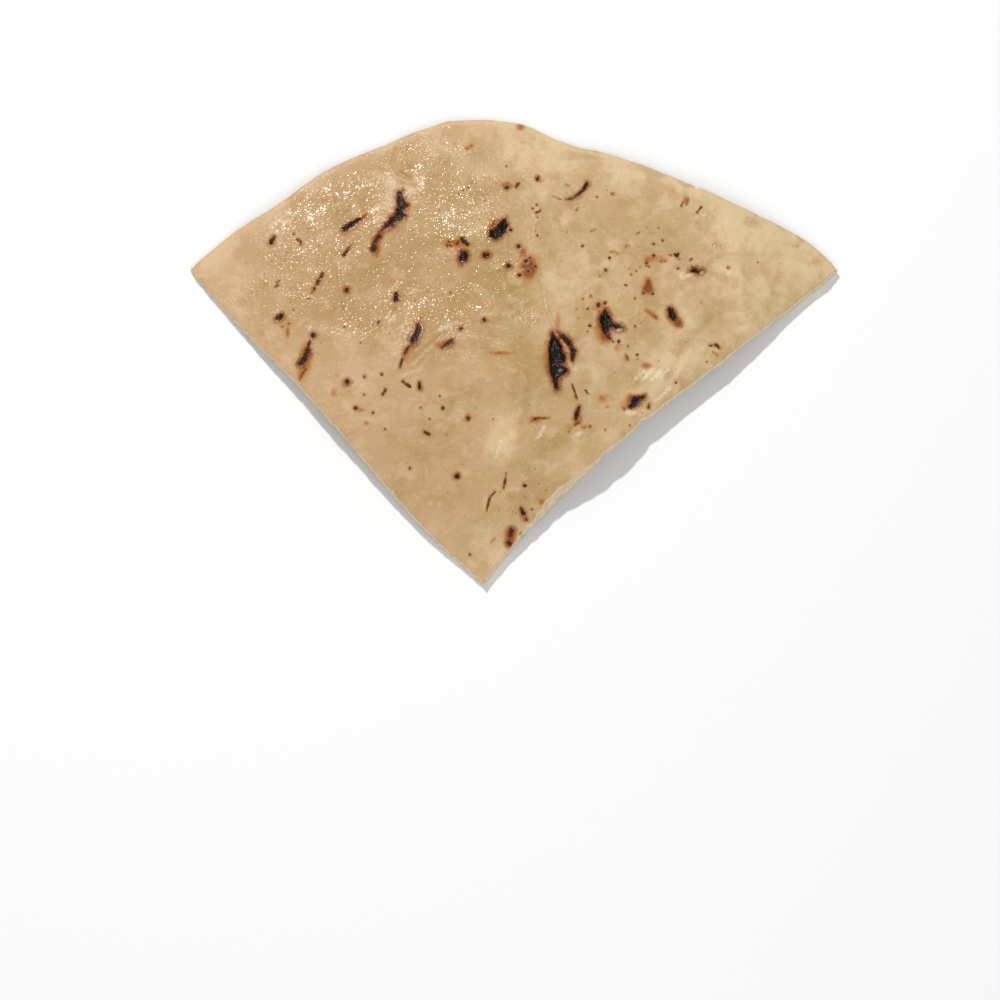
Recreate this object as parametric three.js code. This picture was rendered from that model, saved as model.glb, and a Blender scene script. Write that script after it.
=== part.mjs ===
// A quarter cut from a round, thin, oven-baked flatbread (naan), lying crust side up on a table.
// Units are millimetres. +X runs to the right and +Y from the cut tip to the baked rim, and +Z is up.
// The origin is on the table, under the middle of the slice's bounding box.
// The slice is one leathery sheet: two straight-ish knife cuts meet at the tip, and the baked rim joins
// their far ends. It rests on its four corners, and arches a few millimetres clear between them.
import * as THREE from "three";

const CRUMB_THICKNESS = 3.4; // sheet thickness at the knife cuts
const RIM_NOSE = 1.6; // how far the baked rim rounds outwards from the top edge
const CUT_NOSE = 0.25; // how far a cut face bows outwards, where the knife pinched it
const ARCH_HEIGHT = 6.2; // mean clearance of the underside over the table, under the middle
const GRID = 30; // cells along each of the four sides
const WALL_ROWS = 4; // rows of faces between the top and the underside, round the edge
const NOSE_BLEND = 2; // boundary steps over which the rim's nose fades into a cut's

// The four corners of the outline.
const TIP = [-8.7, -71.9];
const LEFT_CORNER = [-97.2, 23.5];
const CROWN = [-9.9, 69.9];
const RIGHT_CORNER = [97.2, 23.1];

const curve = (...points) => new THREE.SplineCurve(points.map(([x, y]) => new THREE.Vector2(x, y)));

// The outline's sides, each from its first corner to its last.
const leftCut = curve(TIP, [-30.9, -50.6], [-60.9, -16.0], [-77.4, 1.4], LEFT_CORNER);
const rightCut = curve(
  TIP, [-0.9, -61.7], [14.1, -46.2], [38.1, -24.2], [61.0, -6.2], [86.1, 14.2], RIGHT_CORNER,
);
const leftRim = curve(
  LEFT_CORNER, [-84.9, 34.1], [-69.9, 43.6], [-54.9, 54.8], [-36.9, 62.4], [-21.9, 68.9], CROWN,
);
const rightRim = curve(
  CROWN, [2.1, 68.4], [14.1, 63.2], [35.1, 56.8], [56.1, 48.1], [74.1, 39.2], [87.6, 32.0], RIGHT_CORNER,
);

// The arch of the underside: a squarish dome, whose foot crosses the sheet just inside its four corners.
const ARCH = { x: 0, y: -1, halfWidth: 88, halfDepth: 62.5, squareness: 4, softness: 1.5 };

// Long, shallow waves that ride on the arch: height, wavelength, direction in degrees and start.
const WAVES = [
  { height: 1.1, length: 88, heading: 15, start: 0.6 },
  { height: 0.8, length: 61, heading: 105, start: 2.1 },
  { height: 0.6, length: 47, heading: 60, start: 4.0 },
];

// Air pockets that lift the top crust: centre, radius and rise.
const PUFFS = [
  { x: -22, y: 58, radius: 13, rise: 1.3 },
  { x: -58, y: 22, radius: 16, rise: 0.9 },
  { x: -14, y: 26, radius: 18, rise: 1.0 },
  { x: 13, y: -3, radius: 13, rise: 1.1 },
  { x: 44, y: 20, radius: 17, rise: 0.8 },
  { x: -3, y: -38, radius: 14, rise: 0.8 },
  { x: -52, y: -2, radius: 11, rise: 0.9 },
];

// How far the underside is from the table at (x, y). It is exactly 0 where the sheet lies on the table.
function underside(x, y) {
  const across = Math.abs((x - ARCH.x) / ARCH.halfWidth) ** ARCH.squareness;
  const along = Math.abs((y - ARCH.y) / ARCH.halfDepth) ** ARCH.squareness;
  const lift = Math.max(0, 1 - across - along) ** ARCH.softness;
  const waves = WAVES.reduce((sum, wave) => {
    const heading = THREE.MathUtils.degToRad(wave.heading);
    const distance = x * Math.cos(heading) + y * Math.sin(heading);
    return sum + wave.height * Math.sin((2 * Math.PI * distance) / wave.length + wave.start);
  }, 0);
  return lift * (ARCH_HEIGHT + waves);
}

function thickness(x, y) {
  return PUFFS.reduce((sum, puff) => {
    const far = Math.hypot(x - puff.x, y - puff.y) / puff.radius;
    return sum + puff.rise * Math.exp(-2 * far * far);
  }, CRUMB_THICKNESS);
}

// The outline as a ring of points, anticlockwise from the tip: right cut, rim, left cut.
function outlineRing() {
  const forward = (side) => side.getSpacedPoints(GRID).slice(0, GRID);
  const backward = (side) => side.getSpacedPoints(GRID).reverse().slice(0, GRID);
  return [...forward(rightCut), ...backward(rightRim), ...backward(leftRim), ...backward(leftCut)];
}

// Each ring point's outward normal.
function outwardNormals(ring) {
  return ring.map((_, k) => {
    const next = ring[(k + 1) % ring.length];
    const before = ring[(k + ring.length - 1) % ring.length];
    return new THREE.Vector2(next.y - before.y, before.x - next.x).normalize();
  });
}

// Each ring point's nose: the rim's on the two rim sides, a cut's on the others, blended between.
function noses(count) {
  const onRim = (k) => (k > GRID && k < 3 * GRID ? 1 : 0);
  return Array.from({ length: count }, (_, k) => {
    let share = 0;
    for (let step = -NOSE_BLEND; step <= NOSE_BLEND; step++) {
      share += onRim((k + step + count) % count) / (2 * NOSE_BLEND + 1);
    }
    return THREE.MathUtils.lerp(CUT_NOSE, RIM_NOSE, share);
  });
}

// The Coons patch spanned by a ring of 4 * GRID points, as (GRID + 1) rows of (GRID + 1) points.
function patch(ring) {
  const south = (i) => ring[i];
  const east = (j) => ring[GRID + j];
  const north = (i) => ring[3 * GRID - i];
  const west = (j) => ring[(4 * GRID - j) % ring.length];
  const rows = [];
  for (let j = 0; j <= GRID; j++) {
    const v = j / GRID;
    const row = [];
    for (let i = 0; i <= GRID; i++) {
      const u = i / GRID;
      const point = new THREE.Vector2();
      point.addScaledVector(south(i), 1 - v).addScaledVector(north(i), v);
      point.addScaledVector(west(j), 1 - u).addScaledVector(east(j), u);
      point.addScaledVector(ring[0], -(1 - u) * (1 - v)).addScaledVector(ring[GRID], -u * (1 - v));
      point.addScaledVector(ring[2 * GRID], -u * v).addScaledVector(ring[3 * GRID], -(1 - u) * v);
      row.push(point);
    }
    rows.push(row);
  }
  return rows;
}

// The closed surface: a top grid, an underside grid, and a wall of WALL_ROWS rows between their edges.
function sliceGeometry() {
  const outline = outlineRing();
  const count = outline.length;
  const normals = outwardNormals(outline);
  const nose = noses(count);
  const edge = outline.map((point, k) => point.clone().addScaledVector(normals[k], -nose[k]));
  const flat = patch(edge).flat();
  const side = GRID + 1;

  const vertices = [];
  flat.forEach(({ x, y }) => vertices.push(x, y, underside(x, y) + thickness(x, y)));
  flat.forEach(({ x, y }) => vertices.push(x, y, underside(x, y)));

  // The ring of top grid vertices, in the outline's order.
  const steps = [...Array(GRID).keys()];
  const topRing = [
    ...steps.map((i) => i),
    ...steps.map((j) => j * side + GRID),
    ...steps.map((i) => GRID * side + GRID - i),
    ...steps.map((j) => (GRID - j) * side),
  ];
  const rings = [topRing];
  for (let row = 1; row < WALL_ROWS; row++) {
    const down = row / WALL_ROWS;
    const bulge = Math.sqrt(1 - (2 * down - 1) ** 2);
    rings.push(
      edge.map((point, k) => {
        const out = point.clone().addScaledVector(normals[k], nose[k] * bulge);
        const height = underside(point.x, point.y) + thickness(point.x, point.y) * (1 - down);
        vertices.push(out.x, out.y, height);
        return vertices.length / 3 - 1;
      }),
    );
  }
  rings.push(topRing.map((index) => index + flat.length));

  const faces = [];
  const quad = (a, b, c, d) => faces.push(a, b, c, a, c, d);
  for (let j = 0; j < GRID; j++) {
    for (let i = 0; i < GRID; i++) {
      const a = j * side + i;
      quad(a, a + 1, a + 1 + side, a + side);
      const b = a + flat.length;
      quad(b, b + side, b + side + 1, b + 1);
    }
  }
  for (let row = 0; row < WALL_ROWS; row++) {
    for (let k = 0; k < count; k++) {
      const next = (k + 1) % count;
      quad(rings[row][k], rings[row + 1][k], rings[row + 1][next], rings[row][next]);
    }
  }

  const geometry = new THREE.BufferGeometry();
  geometry.setAttribute("position", new THREE.Float32BufferAttribute(vertices, 3));
  geometry.setIndex(faces);
  geometry.computeVertexNormals();
  return geometry;
}

// Moves a geometry so that its bounding box stands centred on the origin.
function standOnOrigin(geometry) {
  geometry.computeBoundingBox();
  const { min, max } = geometry.boundingBox;
  return geometry.translate(-(min.x + max.x) / 2, -(min.y + max.y) / 2, -min.z);
}

const crust = new THREE.MeshStandardMaterial({ color: 0xd0b288, roughness: 0.5, metalness: 0 });

const naanSlice = new THREE.Mesh(standOnOrigin(sliceGeometry()), crust);
naanSlice.name = "naan_slice";

const naan = new THREE.Group();
naan.add(naanSlice);

export default naan;
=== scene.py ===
"""A slice of charred, buttered naan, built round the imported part.

The slice's outline, arch and thickness come from the frame. This script adds what the eye sees: the
blistered and scorched crust, the flaked skin, the rounded baked rim, the crumb of the knife cuts and the
toasted underside. Lengths are in millimetres until the mesh is made, and the mesh itself is in metres.
"""

import math

import bpy
import numpy as np
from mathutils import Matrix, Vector
from mathutils.bvhtree import BVHTree
from mathutils.geometry import barycentric_transform
from mathutils.kdtree import KDTree


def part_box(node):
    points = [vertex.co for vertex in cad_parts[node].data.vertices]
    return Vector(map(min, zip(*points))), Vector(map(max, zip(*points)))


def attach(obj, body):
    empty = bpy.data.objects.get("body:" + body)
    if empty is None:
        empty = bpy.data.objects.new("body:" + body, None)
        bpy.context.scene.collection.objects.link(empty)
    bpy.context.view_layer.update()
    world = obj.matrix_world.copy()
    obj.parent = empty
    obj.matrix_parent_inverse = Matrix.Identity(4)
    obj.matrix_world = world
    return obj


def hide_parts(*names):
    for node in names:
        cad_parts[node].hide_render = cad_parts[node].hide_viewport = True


MM = 0.001  # metres in a millimetre
NODE = "naan_slice"

# The camera looks down on the slice from the front.
VIEW_ELEVATION = 80.0  # degrees above the horizon
VIEW_DISTANCE = 1100.0
VIEW_WIDTH = 295.2  # width of the table that the picture takes in
AIM = (-4.0, -45.6, 3.0)

# The surface grid.
TOP_CELLS = 256  # cells along each side of the crust; the underside has half as many
WALL_ROWS = 8  # rows of faces round the edge
WALL_SHARES = np.arange(1, WALL_ROWS) / WALL_ROWS  # how far down the wall's inner rows of vertices are
SHEET_FACING = 0.92  # a CAD face belongs to the crust or the underside if its normal is this upright
SMOOTHING = 5.0  # cells over which the frame's facets are blended away
INNER_POINT = (0.0, 8.0)  # a point from which the whole outline can be seen
THINNEST = 1.6  # least height of the crust over the underside
SNAP_REACH = 0.5  # a vertex this near a small mark's centre moves onto it
FAR = 4.0  # distance at which a mark no longer shows
LIP_HEIGHT = 0.45  # how high a blister's lip stands, as a share of its rise
FLOOR_DEPTH = 0.8  # the same for its sunken floor
FLAKE_HEIGHT = 0.10

# The edge.
RIM_NOSE = 1.6  # how far the baked rim rounds out past the crust's edge
LEFT_BEVEL = 0.3  # how far the left cut's foot stands out past its top edge
RIGHT_BEVEL = 0.4  # the same for the right cut
TORN_CUT = (14, -46, 17, 1.6)  # where the blade dragged the right cut wider: centre, radius, extra bevel
RIM_BLEND = 8  # points along the edge over which the rim turns into a cut
BEVEL_BLEND = 10  # the same for the right cut's bevel and the left cut's
RIM_TAPER = 5.0  # width of the band in which the sheet thins towards the rim
RIM_THINNING = 0.25  # share of the thickness that is gone at the rim
RIM_PALING_AND_GLARE = 0.7  # how much paler the rim is painted than the crust: partly a paler crust, partly painted glare and painted light against its shade
RIM_GLARE_CELLS = 4.0  # cells over which the rim's painted paleness fades away

# Layers of smooth noise: height, feature size and seed.
CRUST_WAVES = [(0.45, 17, 11), (0.25, 8, 12), (0.10, 3.6, 13), (0.05, 1.9, 14)]
EDGE_WOBBLE = [(0.30, 11, 41), (0.16, 4.5, 42)]
EDGE_FRAY = [(0.12, 2.6, 43), (0.10, 1.1, 44)]
BEVEL_WAVES = [(0.25, 9, 45), (0.15, 2.4, 46)]
FLAKE_FRAY = [(0.357, 1.8, 22), (0.179, 0.9, 23), (0.089, 0.45, 24)]
CRUMB_RELIEF = 0.10  # height of the crumb's waves on a cut
CRUMB_BULGE = 0.15  # how far a cut bows out halfway down
CRUMB_SHIFT = 40  # how far each row's fine waves are shifted from the last row's

# Nicks in the right cut, where the crumb tore: place, half width, and depth or a burr's negative one.
NICKS = [(61, -3.8, 1.2, -0.6), (38.5, -23.5, 1.4, 0.7), (27.5, -33, 1.4, 0.5), (5, -55.2, 1.3, 0.7)]
# Nicks in the baked rim.
RIM_NICKS = [(55, 49.5, 0.6, 0.9)]

# An outlined scorch's char spreads past the outline by this much for each millimetre over the least rise.
OUTLINE_SPREAD = 0.4
OUTLINE_LEAST_RISE = 0.3
OUTLINE_HALF_WIDTH = 1.6  # the half width that an outlined scorch counts as

# Scorched blisters with shapes of their own: how high the skin stands, then the outline.
SCORCH_OUTLINES = [
    # The long forked streak left of the crown.
    (0.28, [
        (-34.7, 49), (-33.3, 49.4), (-33.2, 47.6), (-32.4, 45.8), (-31.7, 44.6), (-32.9, 42.4),
        (-32.4, 41.4), (-33.6, 40.2), (-34.7, 40.1), (-36.8, 37.9), (-38.7, 37.1), (-40.1, 35.7),
        (-40.9, 34.5), (-40.2, 36.5), (-38.7, 38.2), (-37.7, 39.8), (-35.3, 42.6), (-35, 45.2),
        (-35.1, 47.3),
    ]),
    # The long blister by the left cut.
    (0.28, [
        (-61, 0.7), (-60.6, 0.1), (-60.7, -1.1), (-61.7, -3.1), (-63, -4.9), (-63.8, -4.6), (-64.1, -4),
        (-62.8, -2.2), (-62.4, -0.8), (-62, 0.4),
    ]),
    # The streak with a loose skin beside it, in the middle.
    (0.28, [
        (-29.1, 8.2), (-28.5, 8.6), (-27.8, 8.5), (-27.3, 5.9), (-28.1, 4.1), (-29, 2.2), (-30.6, 1.9),
        (-31.1, 2.5), (-30.5, 4.1), (-29.3, 6),
    ]),
    # The two under the crown.
    (0.5, [
        (-15.8, 30.7), (-14.1, 30.2), (-13.5, 29.3), (-14, 27.7), (-15.5, 26.8), (-16.3, 27.6),
        (-15.9, 29.2),
    ]),
    (0.7, [
        (-3, 40.3), (-2.3, 40.5), (-1.8, 38.2), (-2.6, 35.9), (-5.1, 34.4), (-6.9, 35.1), (-6.9, 36.6),
        (-4.8, 37.6), (-3.9, 39.2),
    ]),
    # The forked scorch.
    (0.7, [
        (27.7, 12.7), (28.5, 10.7), (30.1, 8.4), (32.1, 7.6), (32.7, 7.1), (31.9, 6.5), (30.7, 6.5),
        (29.7, 7.5), (28.7, 7.2), (28.3, 5.8), (28.3, 4.6), (26.9, 5.8), (25.9, 8.2), (25.8, 10.6),
    ]),
    # The burst blister, the largest of all, and the lobe across its bridge of skin.
    (0.9, [
        (11.6, 5.5), (12.3, 4.3), (13.3, 3.1), (14.2, 1.5), (14.5, -0.3), (15.3, -2.3), (15.2, -3.7),
        (12.2, -4.4), (14.5, -4.9), (15.8, -5.6), (15.7, -6.7), (13.5, -7.9), (13, -9.2), (13.3, -11.6),
        (12.7, -11.9), (11.6, -8.6), (10.8, -5.4), (10.6, -2.2), (10.9, 1),
    ]),
    (0.9, [
        (13.4, 5.5), (15.3, 4.3), (17, 2.6), (18.1, 0.2), (18.2, -1.4), (17.5, -3), (17.3, -2.6),
        (17.5, -1.3), (17, 0.9), (15.8, 2.3), (14.8, 3.6),
    ]),
    # The one by the right cut.
    (0.5, [
        (34.9, -14.3), (37.2, -13.9), (39, -13.7), (39, -14.4), (37.5, -15.3), (37.2, -16.1), (36, -17.2),
        (34.7, -17.3), (34.4, -16.8), (34.8, -15.4),
    ]),
]

# Smaller scorches: how high the skin stands, then the points and radii that the char runs along.
# The higher the skin, the blacker the char.
SCORCH_STROKES = [
    (0.2, [(-40.3, 35.2, 0.7), (-41.4, 33.3, 0.6), (-41.9, 31.1, 0.9)]),
    (0.4, [(-50.8, 37.4, 0.8), (-48.5, 39, 0.8), (-46, 40.5, 0.5)]),
    (0.2, [(-51, 29.4, 0.5), (-49.2, 31.6, 0.4)]), (0.2, [(-72.6, 33.2, 0.7), (-71.7, 35, 0.5)]),
    (0.2, [(-64.5, 34, 0.5), (-63.6, 33, 0.3)]), (0.1, [(-70, 21.5, 0.3), (-70.9, 21, 0.2)]),
    (0.1, [(-70.3, 20.1, 0.3), (-71.2, 19.6, 0.2)]), (0.3, [(-70.3, 9.8, 0.8), (-69.2, 10.8, 0.7)]),
    (0.3, [(-60.6, 2.8, 0.35), (-61.2, 1.5, 0.45)]), (0.3, [(-35.1, 17.6, 0.55), (-35.1, 15.8, 0.75)]),
    (0.2, [(-18.2, 3.2, 0.6), (-19.8, 2.2, 0.7), (-21.4, 1, 0.3)]),
    (0.1, [(-39, -13.2, 0.4), (-38, -11.6, 0.3)]), (0.2, [(-33, -9.3, 0.4), (-30.8, -10.8, 0.4)]),
    (0.3, [(-27.9, -11.2, 0.65), (-28, -9.4, 0.15)]), (0.2, [(-26.2, -24.6, 0.5), (-25.2, -25.2, 0.5)]),
    (0.4, [(-15.5, 34.3, 0.4), (-14.9, 33.4, 0.65), (-13.7, 32.5, 0.5)]),
    (0.2, [(-15.5, 34.5, 0.25), (-14.6, 34.7, 0.2)]), (0.3, [(-8.5, 29.3, 0.85), (-7.9, 29.3, 0.85)]),
    (0.1, [(1.6, 51.6, 0.3), (0.9, 50.6, 0.35)]), (0.2, [(6.9, 42.5, 0.35), (8.2, 43.2, 0.3)]),
    (0.2, [(50.4, 44.5, 0.2), (50.6, 45.2, 0.3), (51.1, 45.8, 0.2)]),
    (0.2, [(55.2, 42.6, 0.25), (55.8, 43.4, 0.25), (56.4, 44.1, 0.15)]),
    (0.3, [(48.3, 29.6, 0.3), (49, 29, 0.45)]), (0.1, [(53.1, 27.9, 0.3), (53.4, 28.4, 0.2)]),
    (0.5, [(53.2, 24.5, 0.5), (54.4, 24.8, 0.9), (55.3, 24.2, 0.6), (56.6, 24.8, 0.35)]),
    (0.3, [(53.4, 25.8, 0.3), (54, 25.3, 0.4)]),
    (0.4, [(46.9, 12.5, 0.8), (47.4, 11.2, 1.1), (47.9, 9.9, 0.8)]),
    (0.1, [(6.2, -20.6, 0.45), (8, -20.3, 0.3), (10.4, -20.3, 0.15)]),
    (0.2, [(40.1, -17.2, 0.45), (40.4, -16.1, 0.2)]),
    (0.2, [(58.6, 1.7, 0.25), (60.2, 2.1, 0.4), (61.5, 1, 0.4)]),
    (0.1, [(-2.1, -37, 0.2), (-2.6, -39.6, 0.25), (-3, -41.8, 0.2)]),
    (0.1, [(-5.4, -42.6, 0.2), (-7, -44.4, 0.25), (-8, -48.4, 0.3)]),
    (0.3, [(2.4, -47.8, 0.5), (2.9, -49.2, 0.6)]), (0.2, [(-0.7, -54.4, 0.95), (-0.9, -56.4, 0.5)]),
    # The dotted streak below the left rim.
    (0.2, [(-57, 23.6, 0.5), (-57.8, 22.2, 0.4)]), (0.2, [(-58.3, 21.4, 0.6), (-58.6, 20.6, 0.4)]),
    # Below the streak with a loose skin beside it.
    (0.28, [(-31.3, 1.2, 0.4), (-32.2, -0.8, 0.65)]),
    (0.28, [(-33, -2.6, 0.45), (-33.5, -3.9, 0.4), (-33.8, -5.2, 0.15)]),
    # The leg of the forked scorch.
    (0.2, [(27, 5.4, 0.6), (28.2, 4.2, 0.5), (28.9, 3.5, 0.3)]),
    # The fine curved streak.
    (0.3, [
        (22.2, 51.3, 0.65), (21.2, 49.7, 0.55), (19.6, 47.9, 0.5), (17.6, 46.8, 0.3), (15.8, 46.4, 0.15),
    ]),
    # The thin cracks below the burst blister.
    (0.2, [(17.4, -10.2, 0.2), (18.2, -12.2, 0.3), (18.9, -14.6, 0.2)]),
    (0.3, [(19.4, -17, 0.4), (19, -18.8, 0.65), (18.6, -20.6, 0.6)]),
    (0.1, [(21.3, -12, 0.2), (22, -12.9, 0.25)]),
]

# Scorched dots, by how high the skin stands: centre and radius of each.
SCORCH_DOTS = {
    0.1: [
        (-65.8, 36, 0.3), (-61.2, 15.9, 0.3), (-73.9, 20.5, 0.25), (-44.4, -7.8, 0.5), (-39.2, -7.2, 0.4),
        (-38.1, -23.7, 0.25), (-21.9, -13.6, 0.3), (5.7, 44, 0.25), (19, 43.2, 0.2), (25.1, 47.2, 0.2),
        (4.9, 28.6, 0.35), (49.3, 25.2, 0.3), (36.3, 16.2, 0.3), (23.1, 16.8, 0.3), (22.2, 12.9, 0.3),
        (29.7, 2.9, 0.35), (36.3, 7.6, 0.3), (34.2, 1.4, 0.25), (36.9, -1.2, 0.3), (73.2, 27.2, 0.2),
        (5.4, -48, 0.3), (-12.9, -61.4, 0.3),
    ],
    0.2: [
        (-59.6, 19.2, 0.5), (-46.9, -17.3, 0.55), (-41.7, -18.8, 0.35), (-21, -17.3, 0.5),
        (-13.5, -20.3, 0.6), (-0.9, 37.2, 0.5), (-1.8, 50.4, 0.75), (7.3, 53.1, 0.7), (7, 45, 0.25),
        (7.2, 41.2, 0.25), (7.2, 35.5, 0.3), (-2.1, 57, 0.2), (6.6, 26, 0.4), (20.7, 32.1, 0.35),
        (28.8, 28.4, 0.35), (42, 32.7, 0.35), (44.7, 33.9, 0.35), (39.9, 26.9, 0.4), (49.4, 29.7, 0.3),
        (-30.7, -35.5, 0.5), (3.8, -50.9, 0.55), (-1.2, -58.1, 0.85),
    ],
    0.3: [
        (-41.9, 31.3, 0.4), (-49.8, 18.7, 0.75), (-15.6, 6.8, 0.6), (-8.7, 9.3, 0.65), (-40.2, 8.9, 0.55),
        (-49.5, -9.4, 0.85), (-19.4, 33.4, 0.45), (-1.5, 26, 0.8), (1.7, 32.1, 0.65), (3.9, 27.5, 0.6),
        (4.6, 24.4, 0.5), (1.8, 23.2, 0.5), (42, 29, 0.45), (27.6, 24.8, 0.45), (33.6, 20.2, 0.4),
        (39, 17.8, 0.45), (41.7, 17.5, 0.45), (25.5, 14.1, 0.65), (27.3, 14.7, 0.5), (22.8, 7.7, 0.5),
        (31.4, 2.8, 0.45), (48.3, -9.7, 0.4), (-16.8, -38, 0.75), (3.3, -40.7, 0.5),
    ],
    0.4: [(-59.7, 4.8, 0.75)],
}
SCORCHES = SCORCH_STROKES + [(rise, [dot]) for rise, dots in SCORCH_DOTS.items() for dot in dots]
SCORCH_CENTRES = [dot for dots in SCORCH_DOTS.values() for dot in dots]

# Brown marks that never turned black: the points and radii that they run along.
BROWN_STROKES = [
    [(-45.6, 40.8, 0.5), (-44, 42.2, 0.3)], [(-49, 32.2, 0.3), (-47.6, 33.8, 0.2)],
    [(-57.4, 22.8, 0.4), (-60.4, 17.6, 0.25)], [(-61.9, -5.4, 0.5), (-63.6, -8.6, 0.3)],
    [(-28.2, 10, 0.3), (-26.4, 10.6, 0.2)], [(11.4, 47.8, 0.1), (12.6, 47.2, 0.2), (14.6, 46.4, 0.2)],
    [(15.6, 51.4, 0.15), (16.1, 50.9, 0.2), (16.7, 50.7, 0.2)], [(23.1, 36.5, 0.25), (24.5, 37.2, 0.15)],
    [(37, 35.9, 0.3), (37.9, 36.4, 0.2)], [(52.4, 46.8, 0.35), (52, 45, 0.3)],
    [(28.9, 30.3, 0.2), (30.2, 30.4, 0.2), (31.4, 29.7, 0.25)], [(33.5, 31.6, 0.25), (34.2, 32.4, 0.3)],
    [(39.9, 26.2, 0.4), (40.7, 25.7, 0.3)], [(44, 27.6, 0.25), (44.4, 26.9, 0.2)],
    [(46.6, 29.5, 0.25), (47.4, 29.2, 0.3)], [(51.9, 23.9, 0.3), (50.9, 23, 0.3)],
    [(39.8, 12.5, 0.3), (41.3, 11.3, 0.2), (42.7, 10.2, 0.35)], [(-19.9, 32.2, 0.55), (-18.6, 32, 0.4)],
    [(-17.2, 32.2, 0.5), (-16.4, 33.4, 0.5)], [(25.6, 12.2, 0.4), (25.3, 9.6, 0.5)],
    [(33.4, -1, 0.3), (34.2, -2.6, 0.35)], [(59.5, -0.2, 0.2), (60.9, -1.4, 0.25)],
    [(19.4, -21.6, 0.6), (18, -22.6, 0.4)], [(2, -55.2, 0.4), (3.4, -54.8, 0.25)],
    [(-6.6, -57.6, 0.2), (-5.6, -56.6, 0.2)],
]

# Brown dots, by radius: the centre of each.
BROWN_DOTS = {
    0.2: [
        (40, 37.9), (34.9, 32.1), (34.7, 25.2), (30.6, 0.6), (-4, -42.8), (-6, -20.6), (-19.4, -43),
        (56, 14.8),
    ],
    0.25: [
        (-65.7, 12.6), (-8.5, 46.2), (16.1, 36.4), (6.7, 37), (37.9, 25.7), (19, 12.8), (19.4, 10),
        (36.9, -2.5), (43.2, -3),
    ],
    0.3: [
        (-45.6, 2.6), (-27.6, -17.2), (-16.5, 48.2), (-22.2, 43.4), (43.6, 37.8), (45.5, 27.4),
        (49.6, 28.2), (36.8, 24.5), (25.8, 22.9), (50.3, 7.5), (22, 5.8), (57.6, -3.2), (21, -23.2),
        (34.5, -22.6), (27.3, -24), (-19.8, -25.4),
    ],
    0.35: [
        (-69, 7.4), (-66.9, 8.3), (-22.8, 2.5), (-41.8, 8.3), (-44.4, -13.3), (-24.9, -20.6), (-15, 49.3),
        (-13.5, 50.2), (29.7, 48.2), (2.7, 31), (39.8, 27.9), (20.7, 15.9), (16.5, -24.6), (64.2, 25.5),
    ],
    0.4: [
        (-45.9, 7.4), (-50.4, 7.4), (-18.9, 17.9), (35.2, 23.4), (22.8, -22.8), (5.4, -21.2),
    ],
    0.5: [(33, -17.6)],
}
BROWN_CENTRES = [(x, y, radius) for radius, centres in BROWN_DOTS.items() for x, y in centres]
BROWN_MARKS = BROWN_STROKES + [[dot] for dot in BROWN_CENTRES]

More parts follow.
